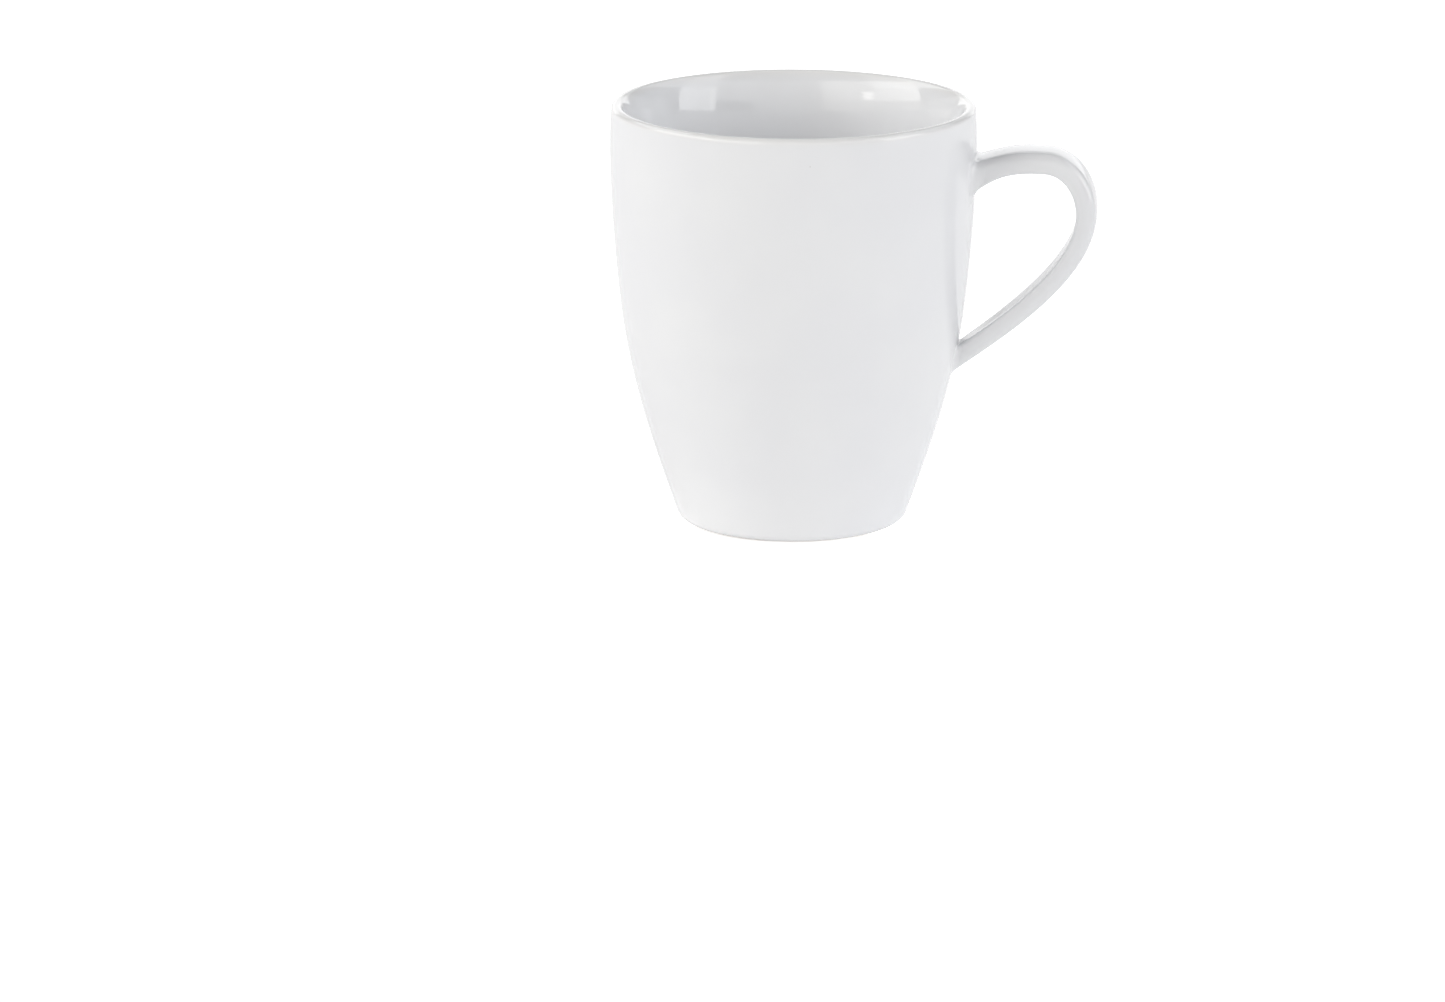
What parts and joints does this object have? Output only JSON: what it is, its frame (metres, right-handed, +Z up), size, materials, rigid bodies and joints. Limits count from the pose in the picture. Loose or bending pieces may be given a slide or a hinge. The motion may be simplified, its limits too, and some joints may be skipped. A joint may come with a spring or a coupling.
{
  "type": "mug",
  "caption": "White glazed ceramic mug: a flared, rounded cup with a strap handle, for hot or cold drinks.",
  "frame": {"origin": "on the plane the mug stands on, in the middle of the whole mug's footprint box, handle included", "axes": "+Z up out of the mug's mouth, +X towards the handle, +Y the third right-handed axis across the handle; the cup's own turning axis is vertical, in the XZ plane, 14.3 mm to the -X side of the origin"},
  "size_m": [0.1152, 0.0866, 0.1],
  "materials": {
    "body_glaze": "clear gloss glaze over white body, bare on the foot ring",
    "handle_glaze": "clear gloss glaze",
    "slip_glaze": "clear gloss glaze over fired slip"
  },
  "bodies": {
    "root": {"mug_body": "body_glaze", "handle": "handle_glaze", "upper_slip_joint": "slip_glaze", "lower_slip_joint": "slip_glaze"}
  },
  "joints": []
}
